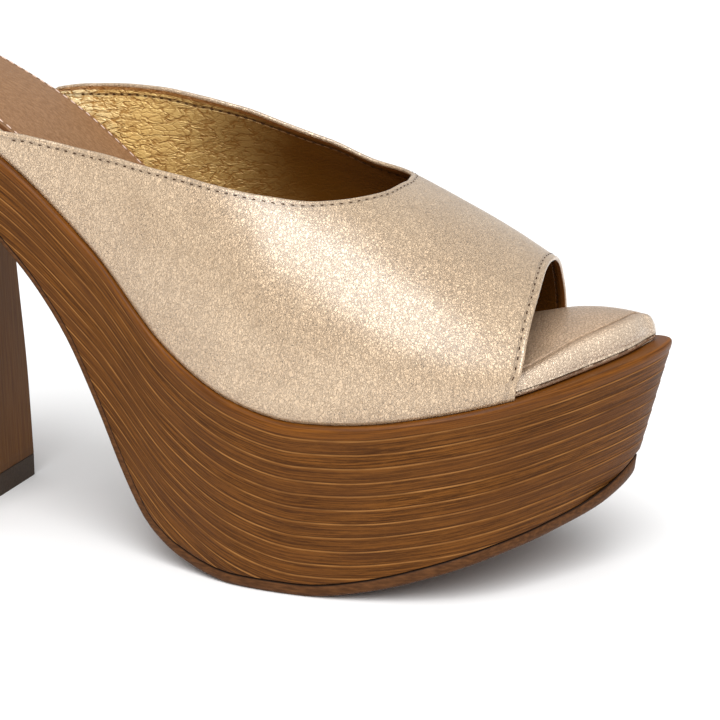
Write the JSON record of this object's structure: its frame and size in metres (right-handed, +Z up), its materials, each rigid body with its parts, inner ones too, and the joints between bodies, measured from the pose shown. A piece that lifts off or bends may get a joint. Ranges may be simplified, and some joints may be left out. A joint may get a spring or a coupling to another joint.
{
  "type": "platform mule sandal",
  "caption": "High-heeled platform mule with a peep toe, a hollow leather vamp, a stacked platform and a flared block heel.",
  "frame": {"origin": "on the floor, under the middle of the shoe's bounding box", "axes": "+X from heel to toe, +Y towards the inner side of a right foot, +Z up from the floor"},
  "size_m": [0.228, 0.0852, 0.1302],
  "materials": {
    "platform_wood": "stacked and satin lacquered",
    "heel_wood": "satin lacquered",
    "outsole_rubber": "matte, moulded",
    "top_lift_rubber": "matte, hard",
    "insole_leather": "metallic foil, soft gloss",
    "sock_leather": "matte",
    "upper_leather": "metallic foil, crackled"
  },
  "bodies": {
    "root": {"platform": "platform_wood", "outsole": "outsole_rubber", "heel_block": "heel_wood", "heel_top_lift": "top_lift_rubber", "insole": "insole_leather", "sock": "sock_leather", "upper": "upper_leather"}
  },
  "joints": []
}
